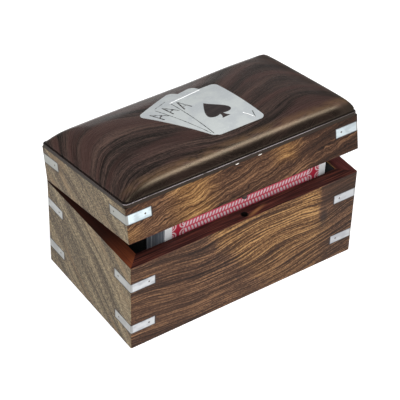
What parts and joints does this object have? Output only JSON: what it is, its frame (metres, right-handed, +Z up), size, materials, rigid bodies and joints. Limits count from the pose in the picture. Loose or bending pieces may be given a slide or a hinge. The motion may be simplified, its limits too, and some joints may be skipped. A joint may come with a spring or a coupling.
{
  "type": "playing card box",
  "caption": "Wooden two-deck playing card box with mitred boards, metal corner straps, a domed hinged lid with a metal card inlay and a felt lining.",
  "frame": {"origin": "middle of the underside, where the box stands", "axes": "+X along the front towards the right end, +Y from the front towards the hinges, +Z up; the lid is stored ajar by 10 degrees, as pictured"},
  "size_m": [0.124, 0.0761, 0.0857],
  "materials": {
    "rosewood": "waxed, satin, open grain",
    "dark_rosewood": "polished, semi-gloss",
    "plain_wood": "unfinished, sanded",
    "felt": "matt velvet",
    "aluminium": "hand-filed, lightly brushed",
    "nail": "filed flush",
    "brass": "aged, satin",
    "card": "smooth coated card"
  },
  "bodies": {
    "base": {"base_front_board": "rosewood", "base_back_board": "rosewood", "base_left_board": "rosewood", "base_right_board": "rosewood", "base_bottom": "plain_wood", "divider": "plain_wood", "base_lining_floor": "felt", "base_lining_front": "felt", "base_lining_back": "felt", "base_lining_left": "felt", "base_lining_right": "felt", "divider_lining": "felt", "card_deck": "card", "base_strap_pins": "nail", "base_hinge_screws": "brass", "left_hinge_base_leaf": "brass", "right_hinge_base_leaf": "brass", "left_hinge_pin": "brass", "right_hinge_pin": "brass", "base_strap_front_left_lower": "aluminium", "base_strap_front_left_upper": "aluminium", "base_strap_front_right_lower": "aluminium", "base_strap_front_right_upper": "aluminium", "base_strap_back_left_lower": "aluminium", "base_strap_back_left_upper": "aluminium", "base_strap_back_right_lower": "aluminium", "base_strap_back_right_upper": "aluminium"},
    "lid": {"lid_front_board": "rosewood", "lid_back_board": "rosewood", "lid_left_board": "rosewood", "lid_right_board": "rosewood", "lid_top": "dark_rosewood", "inlay_cards": "aluminium", "inlay_spade": "dark_rosewood", "lid_lining_ceiling": "felt", "lid_lining_front": "felt", "lid_lining_back": "felt", "lid_lining_left": "felt", "lid_lining_right": "felt", "lid_strap_pins": "nail", "lid_hinge_screws": "brass", "left_hinge_lid_leaf": "brass", "right_hinge_lid_leaf": "brass", "locating_peg": "plain_wood", "lid_strap_front_left": "aluminium", "lid_strap_front_right": "aluminium", "lid_strap_back_left": "aluminium", "lid_strap_back_right": "aluminium"}
  },
  "joints": [
    {"name": "lid_hinge", "type": "hinge", "parent": "base", "child": "lid", "pos_m": [0, 0.03705, 0.04858], "axis": [-1, 0, 0], "range_deg": [-10, 89.6]}
  ]
}
